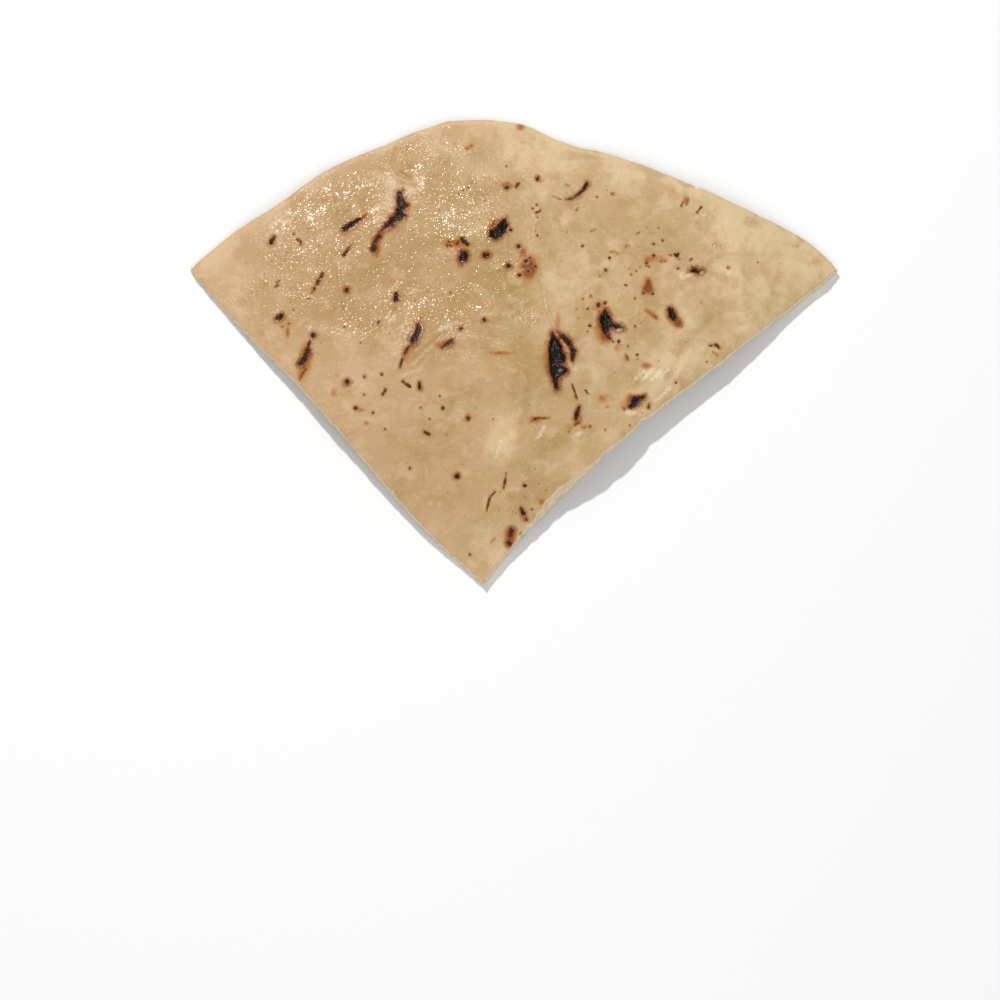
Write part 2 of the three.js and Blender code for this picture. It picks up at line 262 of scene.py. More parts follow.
# Toasted patches: centre, radii along x and y, and how brown they are.
TOASTS = [
    (2.2, 69, 1.6, 1.2, 0.8), (4.6, 25.6, 2.9, 4, 1.7), (2.9, 30.2, 1.3, 2.4, 0.9),
    (40.4, 21.4, 1.2, 1.6, 1), (40.2, 19, 2, 1.9, 1.7), (42, 28.2, 5.6, 2.2, 0.35),
    (41.4, 28.4, 1.5, 1.1, 0.55), (39.8, 27.2, 1, 1.6, 0.6), (45, 27.8, 1.6, 0.9, 0.4),
    (47.8, 10.4, 1.8, 2.4, 0.8), (49.3, 8.5, 1.9, 1.8, 1.3), (40, 12.3, 1.2, 1.1, 0.8),
    (41.3, 11.3, 1.2, 1, 0.8), (42.5, 10.3, 1.1, 1, 1), (13.4, 9, 1.2, 5, 0.6),
    (12.6, -2.4, 4.2, 8.2, 0.9), (26.6, 8.2, 3, 5.8, 0.9), (27.4, 4.4, 1.7, 2.4, 0.8),
    (24.4, 14, 3, 2.6, 0.4), (31.2, 1, 1.4, 2, 0.6), (33.6, -2.2, 0.9, 1.4, 0.7),
    (39.6, -4.5, 2, 1.1, 0.9), (26.4, -14.2, 1.9, 1.5, 0.8), (27.9, -17, 1, 0.8, 0.7),
    (35.2, -15.2, 3.4, 2.4, 0.9), (32.8, -17.4, 1.2, 0.8, 0.7), (19.4, -20.6, 1.8, 2.2, 0.8),
    (16.8, -23.4, 1.2, 1.6, 0.6), (21.8, -22.8, 2.2, 0.9, 0.6), (6.4, -20.9, 2.2, 1.3, 0.9),
    (-2.8, -0.7, 4.6, 0.7, 0.9), (-4.8, -0.8, 1.6, 0.6, 0.5), (-0.9, -56.4, 1.9, 3.3, 1.2),
    (2.9, -49.8, 1.5, 2.2, 0.8), (8.4, -45.6, 1.5, 1.4, 0.9), (3.4, -44.4, 1.1, 0.7, 0.6),
    (-13.5, -20.2, 1.3, 1.8, 0.7), (-16.8, -38, 1.5, 1.8, 0.6), (-53.4, -12.8, 1.2, 1.6, 0.6),
    (-52.4, -7.6, 1.1, 0.8, 0.5), (-45.3, -17.9, 1.4, 0.8, 0.8), (-43.8, -21.8, 1, 0.9, 0.7),
    (-61.8, -1.8, 2.2, 6.6, 0.9), (-63.4, -7.6, 1.2, 2.2, 0.6), (-67.3, 5.6, 0.9, 2.4, 1),
    (-67, 9, 2.4, 1.8, 0.4), (-30, 3.6, 2.1, 5.8, 0.8), (-32.4, -1.2, 1.4, 3.4, 0.9),
    (-20, 2.2, 3, 1.8, 1), (-22.8, 2.2, 1.2, 1, 0.6), (-36.1, 21.5, 1.5, 1, 0.5),
    (-35.3, 12.9, 1.2, 1.1, 0.7), (-29, 15.4, 2.2, 1.1, 0.45), (-47.4, 38.8, 4, 2.2, 0.45),
    (-45, 41.2, 1.6, 1.2, 0.7), (-36.4, 39.6, 3.4, 5.6, 0.5), (-41.3, 31.4, 1.7, 3.4, 1),
    (-17.4, 32.9, 4, 1.6, 1), (-15.2, 29, 2, 2.4, 0.6), (-5.4, 38.4, 2.6, 2.4, 1.2),
    (-4.6, 36.4, 3.2, 3.2, 0.6), (-2.6, 51.2, 1.8, 1.2, 0.7), (1.3, 51.2, 1, 1.1, 0.7),
    (7.3, 53.4, 1.3, 1.2, 0.7), (-14, 62.2, 1.1, 0.8, 0.8), (-12.5, 63, 1, 0.8, 0.8),
    (-35.9, 59.6, 0.7, 3, 0.35), (-34.4, 54.6, 1, 1.6, 0.3), (51.8, 46.2, 1.2, 1.9, 0.8),
    (29.9, 48.1, 1, 0.9, 0.7), (90.6, 27.4, 2.6, 2.6, 0.4), (64.4, 25.4, 1.2, 0.8, 0.6),
    (-50.8, 13.2, 0.9, 1.8, 0.4),
]

# Pale dry flakes, and skin that has lifted: the points and radii that they run along.
FLAKES = [
    [(50.4, 23, 0.9), (53.2, 23.2, 0.5)], [(56.4, 24, 0.4)], [(9, 18.6, 0), (9.9, 13.3, 0.1)],
    [(64.6, 23.8, 0.8), (65.2, 24.4, 0.3)], [(57.2, 41.6, 0.5)], [(34.4, -18.8, 0.9), (36.2, -18.6, 0.6)],
    [(36.4, -8.4, 0.3), (38.8, -6.2, 0.5)], [(38.4, -9, 0.4), (41.4, -5.6, 0.7)],
    [(40.8, -9.2, 0.4), (43.6, -6.2, 0.7)], [(43.4, -8.2, 0.3), (46.2, -5.6, 0.5)],
    [(43.8, -13.8, 0.3), (46.8, -11, 0.5)], [(42.2, -15.4, 0.3), (44.2, -13.8, 0.3)],
    [(31, 6.3, 0.35), (32.2, 6.6, 0.25)], [(14, -5.8, 0.5)],
    [(9.2, -22.6, 0.4), (8, -25.4, 0.5), (6.8, -26.6, 0.3)], [(18.8, -25.4, 0.8), (20.4, -24.6, 0.4)],
    [(-3.6, -27.4, 0.4), (-5.2, -32.2, 0.3)], [(-21.8, 6.6, 0.7), (-18.6, 8.2, 0.6), (-16.8, 9, 0.3)],
    # The bridge of skin over the burst blister.
    [(12.6, 5, -0.1), (14.6, 2.6, 0), (16.2, 0.2, 0.1), (16.5, -1.6, 0.2)],
]

# Where butter has soaked in, or the crust is floury (negative amounts): centre, radius, amount.
SOAKS = [
    (-18, -38, 24, 0.5), (-7, -62, 14, -0.5), (13, -26, 13, 0.35), (-30, -24, 14, 0.35),
    (-50, 13, 9, 0.7), (-64, 14, 12, 0.5), (-36, 22, 12, 0.3), (-24, 52, 12, 0.5), (-38, 54, 9, 0.5),
    (2, -4, 11, 0.7), (48, 36, 13, 0.1), (57, 14, 13, 0.25), (40, 6, 12, -0.1),
    (10, 42, 12, 0.4), (52, 2, 11, -0.6), (-55, 44, 10, 0.3), (74, 20, 7, -0.4), (10, -48, 8, 0.4),
    (-78, 30, 8, 0.3), (-87, 25, 11, -0.5), (8, 60, 12, -0.6), (32, 57, 11, -0.5), (70, 36, 13, -0.8),
    (86, 27, 9, -0.8), (18, 22, 11, -0.5), (20, -3, 9, -0.7), (-24, -6, 10, -0.2), (-2, -28, 8, -0.9),
    (-64, -2, 7, -0.4), (43, -6, 7, -0.9), (22, -42, 10, -0.5), (-8, 66, 8, -0.3), (-62, 40, 7, -0.4),
    (-10, 22, 9, -0.2), (-44, -14, 11, -0.3), (60, 28, 8, 0.1), (14, -58, 6, -0.4), (38, -16, 6, -0.5),
    (-10, 8, 8, 0.2), (-42, 20, 34, 0.5), (-42, 38, 12, 0.4), (-38, 14, 7, 0.4), (-8, 14, 26, 0.5),
    (16, 4, 14, 0.4), (12, 24, 14, 0.3), (-24, 2, 8, 0.5), (-24, -8, 7, 0.2), (7, -54, 4, -1),
    (15, -47, 4, -1.2), (23, -40, 4, -1.2), (31, -33, 4, -1), (40, -25, 4, -0.5), (-62, 4, 3, -0.7),
    (9, 20, 6, -0.7), (12, 12, 4, -0.6), (46, 20, 5, -0.1), (68, 9, 8, -0.5), (68, 20, 6, -0.3),
    # The floury entries at (44, 52), (78, 36) and (-22, 62) are painted light: they lighten the rim
    # against its shade and stand in for glare on it.
    (36, 25, 10, 0.4), (-10, 4, 9, 0.4), (30, -18, 8, -0.4), (44, 52, 8, -0.4), (78, 36, 8, -0.4),
    (-22, 62, 8, -0.5), (2, 60, 6, -0.4), (-5, -28, 5, -0.5),
]

# Where the crust is finely pimpled and shines with butter: centre, radius, amount.
WET_SPOTS = [
    (-22, 63, 9, 1.4), (-30, 60, 10, 0.7), (-18, 56, 12, 0.9), (-48, 50, 11, 1.1), (-58, 44, 12, 0.9),
    (-68, 36, 12, 0.5), (-37, 50, 8, -0.3), (-10, 48, 10, 0.6), (-20, 38, 12, 0.9), (-12, 30, 11, 1.1),
    (-19, 23, 9, 1.2), (-9, 22, 10, 1.2), (-20, 14, 11, 0.8), (-46, 12, 9, 1), (-66, 22, 12, 0.8),
    (-72, 16, 9, 0.7), (-52, 30, 14, 0.6), (-32, 30, 14, 0.6), (4, 10, 3.5, 0.6), (-4, 7, 8, -0.5),
    (-2, 40, 8, 0.5), (0, 52, 8, 0.4), (-28, 10, 9, 0.3), (-60, 34, 9, 0.5), (60, 33, 9, 0.3),
    (26, 10, 9, 0.2), (-20, -20, 22, 0.15), (16, -20, 10, 0.2), (57, 31.4, 0.9, 1.2),
    (60, 32.4, 0.8, 1.2), (62.7, 32.2, 0.8, 1.2), (67.4, 32, 0.8, 1.2), (60.4, 43.2, 1.1, 1.2),
    (71.1, 39.4, 0.9, 1.2), (54.7, 34.5, 0.8, 1.2),
]

# Creases in the sheet: depth, width, then the points that they run through.
CREASES = [
    (0.50, 0.7, [(-35.5, 62.5), (-36.2, 58), (-34.5, 54.5), (-31, 53)]),
    (0.40, 0.6, [(8.3, 23.1), (9.0, 18.6), (9.9, 13.3), (12.0, 7.9), (14.5, 5)]),
    (0.25, 0.9, [(17.5, -6), (18.5, -14), (19, -22)]),
    (0.30, 0.8, [(-64, -9), (-66, -2), (-65, 4), (-61.5, 8)]),
    (0.25, 0.8, [(-26, -1), (-28.5, -5), (-33.5, -6.5)]),
    (0.35, 0.7, [(-16.5, 9.0), (-20.2, 6.6), (-22.9, 3.5), (-26.4, 0.4), (-30.3, -3.5)]),
    (0.20, 1.2, [(-2, -24), (-4.5, -31), (-6, -36)]),
    (0.20, 1.1, [(43.5, -14), (52, 2), (60, 10)]),
]

# Air pockets under the crust: centre, radii along and across, heading in degrees, and rise.
POCKETS = [
    (-22, 60, 15, 6, 20, 0.9), (-50, 46, 12, 5, 35, 0.5), (-40, 38, 9, 7, 60, 0.4),
    (-17, 32, 9, 8, 0, 0.6), (-6, 36, 7, 6, 40, 0.6), (-7, 12, 14, 9, -50, 1), (14, -1, 8, 6, 70, 0.6),
    (28, 8, 7, 5, 60, 0.5), (-63, 0, 8, 3.5, 75, 0.6), (-29, 3, 9, 5, 60, 0.5), (4, 27, 7, 5, 80, 0.4),
    (46, 27, 10, 6, 10, 0.4), (36, -15, 7, 4, 30, 0.4), (-70, 24, 11, 7, 30, 0.4),
    (66, 32, 12, 7, -25, 0.5), (-18, -34, 13, 9, 40, 0.4), (0, -48, 9, 6, 60, 0.4),
    (-13, 62.6, 3.6, 2.6, 25, 0.5), (20, 48, 12, 7, -20, 0.4), (42, 44, 9, 6, -30, 0.3),
    (-45, -12, 9, 6, 50, 0.4), (10, -28, 10, 7, 0, 0.4),
]

# How many toasted spots and freckles the underside has, where it lay on the hot stone.
UNDER_SPOTS = 46
UNDER_FRECKLES = 150

# The crust's colours, as a screen shows them: 0 to 255 in each channel.
COLOURS = {
    "dry": (209, 183, 142), "plain": (186, 157, 113), "buttery": (170, 139, 87),
    "film": (207, 181, 143), "clear": (170, 135, 85), "rosy": (194, 154, 118),
    "pale dot": (226, 204, 168), "dark dot": (156, 118, 74), "speck": (110, 62, 24),
    "toast": (170, 104, 42), "dark toast": (112, 58, 20), "fringe": (168, 108, 50), "brown": (98, 46, 12),
    "halo": (164, 108, 58), "dark halo": (126, 66, 26), "brown char": (96, 44, 4),
    "dark char": (58, 26, 4), "rusty char": (62, 26, 2), "black char": (20, 11, 5),
    "flake": (232, 216, 188), "crumb": (236, 220, 188), "pore": (210, 186, 146),
    "under": (190, 162, 118), "flour": (216, 197, 160),
}
DRY_ROUGHNESS = 0.58
SOAKED_ROUGHNESS = 0.46
POLISH = 0.46  # how much of its roughness the crust loses where it is wet
LEAST_ROUGHNESS = 0.12
CHAR_ROUGHNESS = 0.24
CRUMB_ROUGHNESS = 0.75
UNDER_ROUGHNESS = 0.7


def linear_colour(channels):
    """A screen colour as the linear colour that a shader takes."""
    shares = [c / 255 for c in channels]
    linear = [s / 12.92 if s <= 0.04 else ((s + 0.055) / 1.055) ** 2.4 for s in shares]
    return (*linear, 1.0)


def grey(level):
    return (level, level, level, 1.0)


# ---- Fields over the plane, in numpy.


def smooth_noise(points, cell, seed):
    """Smooth noise from -1 to 1 at (n, 2) points, with features about one cell across."""
    rng = np.random.default_rng(seed)
    size = 256
    lattice = rng.uniform(-1, 1, (size, size))
    turn = rng.uniform(0, math.tau)
    rotation = np.array([[math.cos(turn), -math.sin(turn)], [math.sin(turn), math.cos(turn)]])
    scaled = points @ rotation / cell + size / 2
    base = np.floor(scaled).astype(int)
    part = scaled - base
    part = part * part * (3 - 2 * part)
    i, j = base[:, 0] % size, base[:, 1] % size
    near = lattice[i, j] * (1 - part[:, 0]) + lattice[(i + 1) % size, j] * part[:, 0]
    j = (j + 1) % size
    far = lattice[i, j] * (1 - part[:, 0]) + lattice[(i + 1) % size, j] * part[:, 0]
    return near * (1 - part[:, 1]) + far * part[:, 1]


def layered_noise(points, layers):
    """The sum of several smooth noises, from the height, feature size and seed of each."""
    return sum(height * smooth_noise(points, cell, seed) for height, cell, seed in layers)


def from_segment(points, start, end):
    """Distance from points to a segment, and how far along it the nearest place is."""
    along = end[:2] - start[:2]
    offset = points - start[:2]
    share = np.clip(offset @ along / max(along @ along, 1e-9), 0, 1)
    return np.linalg.norm(offset - share[:, None] * along, axis=1), share


def path_distance(points, path):
    """Signed distance in millimetres from points to a tapering stroke, negative inside it."""
    path = np.asarray(path, float)
    nearest = np.full(len(points), np.inf)
    for start, end in zip(path, path[1:] if len(path) > 1 else path):
        distance, share = from_segment(points, start, end)
        nearest = np.minimum(nearest, distance - start[2] - share * (end[2] - start[2]))
    return nearest


def outline_distance(points, outline):
    """Signed distance in millimetres from points to a closed outline, negative inside it."""
    outline = np.asarray(outline, float)
    nearest = np.full(len(points), np.inf)
    inside = np.zeros(len(points), bool)
    for start, end in zip(outline, np.roll(outline, -1, axis=0)):
        nearest = np.minimum(nearest, from_segment(points, start, end)[0])
        spans = (start[1] > points[:, 1]) != (end[1] > points[:, 1])
        rise = end[1] - start[1] or 1e-9
        crossing = start[0] + (points[:, 1] - start[1]) * (end[0] - start[0]) / rise
        inside ^= spans & (points[:, 0] < crossing)
    return np.where(inside, -nearest, nearest)


def scorch_distances(points):
    """For each scorch: how high its skin stands, its half width, and the signed distance to it."""
    for rise, outline in SCORCH_OUTLINES:
        spread = OUTLINE_SPREAD * (rise - OUTLINE_LEAST_RISE)
        yield rise, OUTLINE_HALF_WIDTH, outline_distance(points, outline) - spread
    for rise, path in SCORCHES:
        yield rise, max(radius for _, _, radius in path), path_distance(points, path)


def marks_distance(points, paths):
    """Signed distance to the nearest of several strokes."""
    nearest = np.full(len(points), np.inf)
    for path in paths:
        nearest = np.minimum(nearest, path_distance(points, path))
    return nearest


def bells(points, spots, fall=1.4):
    """The sum of bells: centre, one radius or the two along x and y, and height."""
    total = np.zeros(len(points))
    for x, y, *radii, height in spots:
        offset = (points - (x, y)) / radii
        total += height * np.exp(-fall * (offset**2).sum(axis=1))
    return total


def camera_place():
    tilt = math.radians(VIEW_ELEVATION)
    return np.array(AIM) + VIEW_DISTANCE * np.array([0, -math.cos(tilt), math.sin(tilt)])


def laid_flat(points, heights):
    """Where points of the arched sheet fall on the flat layout that places the marks.

    The layout is the table as the camera sees it, so each point slides along the camera's line of sight
    until it meets the table.
    """
    eye = camera_place()
    return points + (points - eye[:2]) * (heights / (eye[2] - heights))[:, None]


def smoothstep(value, low, high):
    share = np.clip((value - low) / (high - low), 0, 1)
    return share * share * (3 - 2 * share)


# ---- The outline and the heights, from the frame.


def cad_arrays(node):
    """The CAD node's vertices in millimetres, its edges and its triangles."""
    mesh = node.data
    vertices = np.array([v.co for v in mesh.vertices], float) / MM
    edges = np.array([e.vertices for e in mesh.edges])
    mesh.calc_loop_triangles()
    triangles = np.array([t.vertices for t in mesh.loop_triangles])
    return vertices, edges, triangles


def plan_outline(vertices, edges, count=2400):
    """The outline seen from above, anticlockwise, and the places in it of its four corners.

    The corners are its lowest, rightmost, highest and leftmost points: tip, right end, crown, left end.
    """
    plan = vertices[:, :2]
    middle = np.array(INNER_POINT)
    start, end = plan[edges[:, 0]] - middle, plan[edges[:, 1]] - middle
    extremes = [plan[:, 1].argmin(), plan[:, 0].argmax(), plan[:, 1].argmax(), plan[:, 0].argmin()]
    corner_angles = [math.atan2(*(plan[k] - middle)[::-1]) % math.tau for k in extremes]
    angles = np.unique(np.concatenate([np.linspace(0, math.tau, count, endpoint=False), corner_angles]))
    outline = []
    for angle in angles:
        direction = np.array([math.cos(angle), math.sin(angle)])
        side_start = direction[0] * start[:, 1] - direction[1] * start[:, 0]
        side_end = direction[0] * end[:, 1] - direction[1] * end[:, 0]
        crossing = (side_start * side_end <= 0) & (np.abs(side_start - side_end) > 1e-9)
        share = side_start[crossing] / (side_start[crossing] - side_end[crossing])
        hits = start[crossing] + share[:, None] * (end[crossing] - start[crossing])
        outline.append(middle + direction * (hits @ direction).max())
    corners = [int(np.abs(angles - angle).argmin()) for angle in corner_angles]
    return np.array(outline), corners


def resampled(points, count):
    """count + 1 points at equal steps along a line of points."""
    steps = np.concatenate([[0], np.cumsum(np.linalg.norm(np.diff(points, axis=0), axis=1))])
    wanted = np.linspace(0, steps[-1], count + 1)
    return np.stack([np.interp(wanted, steps, points[:, k]) for k in range(2)], axis=1)


def ring_of(outline, corners, count):
    """The outline as a ring of 4 * count points that starts at the tip and runs anticlockwise."""
    ring = []
    for k, first in enumerate(corners):
        last = corners[(k + 1) % 4]
        if last <= first:
            last += len(outline)
        side = outline[np.arange(first, last + 1) % len(outline)]
        ring.append(resampled(side, count)[:-1])
    return np.concatenate(ring)


def ring_smoothed(values, reach):
    """Values along the ring, averaged over reach points to each side."""
    kernel = np.hanning(2 * reach + 3)[1:-1]
    kernel /= kernel.sum()
    padded = np.concatenate([values[-reach:], values, values[:reach]])
    return np.convolve(padded, kernel, "valid")


def outward(ring, reach=4):
    """Outward unit normals of an anticlockwise ring."""
    tangent = np.roll(ring, -reach, axis=0) - np.roll(ring, reach, axis=0)
    normal = np.stack([tangent[:, 1], -tangent[:, 0]], axis=1)
    return normal / np.linalg.norm(normal, axis=1)[:, None]


def coons(ring, count):
    """The patch spanned by a ring of 4 * count points, as a (count + 1, count + 1, 2) array."""
    south = ring[: count + 1]
    east = ring[count : 2 * count + 1]
    north = ring[2 * count : 3 * count + 1][::-1]
    west = np.concatenate([ring[3 * count :], ring[:1]])[::-1]
    u = np.linspace(0, 1, count + 1)[None, :, None]
    v = np.linspace(0, 1, count + 1)[:, None, None]
    ruled = (1 - v) * south[None] + v * north[None] + (1 - u) * west[:, None] + u * east[:, None]
    south_corners = (1 - u) * (1 - v) * south[0] + u * (1 - v) * south[-1]
    north_corners = (1 - u) * v * north[0] + u * v * north[-1]
    return ruled - south_corners - north_corners


def grid_ring(count):
    """Row and column of the patch's boundary vertices, in the ring's order."""
    run = np.arange(count)
    full, none = np.full(count, count), np.zeros(count, int)
    rows = np.concatenate([none, run, full, count - run])
    columns = np.concatenate([run, full, count - run, none])
    return rows, columns


def sheet_heights(vertices, triangles, facing, plan):
    """Heights of the frame's crust (facing 1) or underside (facing -1) over a (rows, columns, 2) patch.

    The frame's facets are blended away.
    """
    corners = vertices[triangles]
    normals = np.cross(corners[:, 1] - corners[:, 0], corners[:, 2] - corners[:, 0])
    normals /= np.linalg.norm(normals, axis=1)[:, None]
    sheet = triangles[normals[:, 2] * facing > SHEET_FACING].tolist()
    solid = [Vector(v) for v in vertices]
    flat = [Vector((v[0], v[1], 0)) for v in vertices]
    tree = BVHTree.FromPolygons(flat, sheet)

    def height_at(x, y):
        spot, _, index, _ = tree.find_nearest(Vector((x, y, 0)))
        a, b, c = sheet[index]
        return barycentric_transform(spot, flat[a], flat[b], flat[c], solid[a], solid[b], solid[c]).z

    heights = np.array([[height_at(*point) for point in row] for row in plan])
    reach = int(SMOOTHING * 3)
    kernel = np.exp(-0.5 * (np.arange(-reach, reach + 1) / SMOOTHING) ** 2)
    kernel /= kernel.sum()
    for _ in range(2):
        padded = np.pad(heights, ((reach, reach), (0, 0)), mode="reflect", reflect_type="odd")
        heights = np.apply_along_axis(lambda line: np.convolve(line, kernel, "valid"), 0, padded).T
    return heights


# ---- Relief of the two faces.


def crust_relief(points):
    """How far the crust stands above the frame's smooth sheet, in millimetres."""
    relief = layered_noise(points, CRUST_WAVES)
    for x, y, long, wide, heading, rise in POCKETS:
        turn = math.radians(heading)
        dx, dy = points[:, 0] - x, points[:, 1] - y
        along = (dx * math.cos(turn) + dy * math.sin(turn)) / long
        across = (dy * math.cos(turn) - dx * math.sin(turn)) / wide
        relief += rise * np.exp(-1.5 * (along**2 + across**2))
    wet = np.clip(bells(points, WET_SPOTS), 0, 1)
    relief += 0.03 * wet * smooth_noise(points, 1.5, 15)
    for depth, width, path in CREASES:
        distance = path_distance(points, [(x, y, 0) for x, y in path]) / width
        relief += depth * (0.3 * np.exp(-((distance - 1.6) ** 2)) - np.exp(-(distance**2)))
    return relief + scorch_relief(points)


def scorch_relief(points):
    """The blistered lips and sunken floors of the scorches, and the flakes that stand over the crust."""
    lips = np.zeros(len(points))
    floors = np.zeros(len(points))
    for rise, _, distance in scorch_distances(points):
        near = distance < FAR
        lips[near] = np.maximum(lips[near], rise * np.exp(-(((distance[near] - 0.3) / 0.9) ** 2)))
        floors[near] = np.maximum(floors[near], rise * smoothstep(-distance[near], -0.1, 0.8))
    relief = LIP_HEIGHT * lips - FLOOR_DEPTH * floors
    relief += floors * 0.5 * smooth_noise(points, 1.1, 21)
    flake = marks_distance(points, FLAKES) + layered_noise(points, FLAKE_FRAY)
    return relief + FLAKE_HEIGHT * smoothstep(-flake, -0.4, 0.2)


def under_relief(points):
    """How far the underside stands clear of the frame's smooth sheet: shallow dimples, never below it."""
    dimples = 0.5 + 0.5 * smooth_noise(points, 9, 31)
    return 0.35 * dimples**2 + 0.12 * np.maximum(0, smooth_noise(points, 3.2, 32))


# ---- The mesh.


def edge_rings():
    """The ragged outline ring, its normals, and per point the rim share, top inset and foot inset."""
    vertices, edges, _ = cad_arrays(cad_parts[NODE])
    outline, corners = plan_outline(vertices, edges)
    ring = ring_of(outline, corners, TOP_CELLS)
    normals = outward(ring)
    place = np.arange(len(ring))
    on_rim = ((place > TOP_CELLS) & (place < 3 * TOP_CELLS)).astype(float)
    on_right_cut = (place <= TOP_CELLS).astype(float)
    rim = ring_smoothed(on_rim, RIM_BLEND)
    bevel = LEFT_BEVEL + (RIGHT_BEVEL - LEFT_BEVEL) * ring_smoothed(on_right_cut, BEVEL_BLEND)

    wobble = layered_noise(ring, EDGE_WOBBLE)
    ragged = layered_noise(ring, EDGE_FRAY)
    shift = rim * (wobble + 0.25 * ragged) + (1 - rim) * (0.3 * wobble + ragged)
    for x, y, width, depth in NICKS + RIM_NICKS:
        distance = np.hypot(ring[:, 0] - x, ring[:, 1] - y) / width
        shift -= depth * np.exp(-(distance**2))
    ring = ring + normals * shift[:, None]

    bevel += bells(ring, [TORN_CUT])
    bevel = bevel * (1 + layered_noise(ring, BEVEL_WAVES))
    top_inset = rim * RIM_NOSE + (1 - rim) * bevel
    foot_inset = rim * RIM_NOSE
    return ring, normals, rim, top_inset, foot_inset


def plan_tree(points):
    """A search tree over points of the plane."""
    tree = KDTree(len(points))
    for index, (x, y) in enumerate(points):
        tree.insert((x, y, 0), index)
    tree.balance()
    return tree


def snap_to_marks(plan, layout):
    """Moves the nearest inner vertex onto each small mark's centre, so that the mark keeps its shape."""
    rows, columns = plan.shape[:2]
    tree = plan_tree(layout.reshape(-1, 2))
    for x, y, _ in SCORCH_CENTRES + BROWN_CENTRES:
        _, index, distance = tree.find((x, y, 0))
        row, column = divmod(index, columns)
        if 0 < row < rows - 1 and 0 < column < columns - 1 and distance < SNAP_REACH:
            plan[row, column] += (x, y) - layout[row, column]
            layout[row, column] = (x, y)


def slice_mesh():
    """The slice's vertices in millimetres, its faces, and its layers: crust, wall and underside."""
    vertices, _, triangles = cad_arrays(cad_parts[NODE])
    ring, normals, rim, top_inset, foot_inset = edge_rings()
    top_edge = ring - normals * top_inset[:, None]
    foot_edge = ring - normals * foot_inset[:, None]
    half = TOP_CELLS // 2

    top_plan = coons(top_edge, TOP_CELLS)
    foot_plan = coons(foot_edge[::2], half)
    full_foot_plan = coons(foot_edge, TOP_CELLS)
    top_height = sheet_heights(vertices, triangles, 1, top_plan)
    foot_height = np.maximum(0, sheet_heights(vertices, triangles, -1, full_foot_plan))
    layout = laid_flat(top_plan.reshape(-1, 2), top_height.ravel()).reshape(top_plan.shape)
    snap_to_marks(top_plan, layout)

    top_points = top_plan.reshape(-1, 2)
    to_rim = distance_to(ring[rim > 0.5], top_points).reshape(top_height.shape)
    thinning = RIM_THINNING * (1 - smoothstep(to_rim, 0, RIM_TAPER))
    top_height = top_height - thinning * (top_height - foot_height)
    top_height += crust_relief(layout.reshape(-1, 2)).reshape(top_height.shape)
    foot_height += under_relief(full_foot_plan.reshape(-1, 2)).reshape(foot_height.shape)
    foot_height = np.minimum(foot_height, np.maximum(top_height - THINNEST, 0))

    rows, columns = grid_ring(TOP_CELLS)
    edge_top = top_height[rows, columns]
    edge_foot = foot_height[rows, columns]
    wall = wall_rings(ring, normals, rim, top_edge, foot_edge, edge_top, edge_foot)

    crust = np.column_stack([top_points, top_height.ravel()])
    foot = np.column_stack([foot_plan.reshape(-1, 2), foot_height[::2, ::2].ravel()])
    all_vertices = np.concatenate([crust, wall.reshape(-1, 3), foot])

    wall_layout = np.tile(layout[rows, columns], (len(wall), 1))
    first_foot = len(all_vertices) - len(foot)
    layer = {
        "layout": np.concatenate([layout.reshape(-1, 2), wall_layout]),
        "crust": np.arange(len(crust)),
        "wall": np.arange(len(crust), first_foot),
        "foot": np.arange(first_foot, len(all_vertices)),
        "wall_cut": np.tile(1 - rim, len(wall)),
        "wall_depth": np.repeat(WALL_SHARES, len(ring)),
    }
    return all_vertices, slice_faces(half), layer


def distance_to(line, points):
    """Distance from each point to the nearest of a line's points."""
    tree = plan_tree(line)
    return np.array([tree.find((x, y, 0))[2] for x, y in points])


def wall_rings(ring, normals, rim, top_edge, foot_edge, edge_top, edge_foot):
    """The inner rows of the edge wall, as a (rows, ring, 3) array."""
    rings = []
    middle, half = (edge_top + edge_foot) / 2, (edge_top - edge_foot) / 2
    for row, share in enumerate(WALL_SHARES, 1):
        angle = math.pi * share
        nose = ring - normals * (RIM_NOSE * (1 - math.sin(angle)))
        nose_height = middle + half * math.cos(angle)
        straight = top_edge + (foot_edge - top_edge) * share
        crumb = smooth_noise(ring + CRUMB_SHIFT * row, 1.3, 50 + row) + smooth_noise(ring, 3.1, 60 + row)
        bulge = (CRUMB_BULGE + CRUMB_RELIEF * crumb) * math.sin(angle)
        straight = straight + normals * bulge[:, None]
        straight_height = edge_top + (edge_foot - edge_top) * share
        plan = rim[:, None] * nose + (1 - rim)[:, None] * straight
        height = rim * nose_height + (1 - rim) * straight_height
        rings.append(np.column_stack([plan, height]))
    return np.array(rings)


def grid_faces(first, cells):
    """The faces of a square grid whose vertices start at first."""
    side = cells + 1
    corner = (first + np.arange(cells)[:, None] * side + np.arange(cells)).ravel()
    return np.stack([corner, corner + 1, corner + 1 + side, corner + side], axis=1)


def slice_faces(half):
    """The faces of the crust, the wall and the underside, whose grid is half as fine."""
    side, around = TOP_CELLS + 1, 4 * TOP_CELLS
    first_wall = side * side
    first_foot = first_wall + (WALL_ROWS - 1) * around
    groups = [grid_faces(0, TOP_CELLS), grid_faces(first_foot, half)[:, [0, 3, 2, 1]]]
    rows, columns = grid_ring(TOP_CELLS)
    upper = rows * side + columns
    for row in range(WALL_ROWS - 1):
        lower = first_wall + row * around + np.arange(around)
        groups.append(np.stack([upper, lower, np.roll(lower, -1), np.roll(upper, -1)], axis=1))
        upper = lower
    rows, columns = grid_ring(half)
    foot = first_foot + rows * (half + 1) + columns
    even = upper[::2]
    groups.append(np.stack([even, foot, np.roll(foot, -1), np.roll(even, -1), upper[1::2]], axis=1))
    return [face for group in groups for face in group.tolist()]


# ---- What the material reads at each vertex.

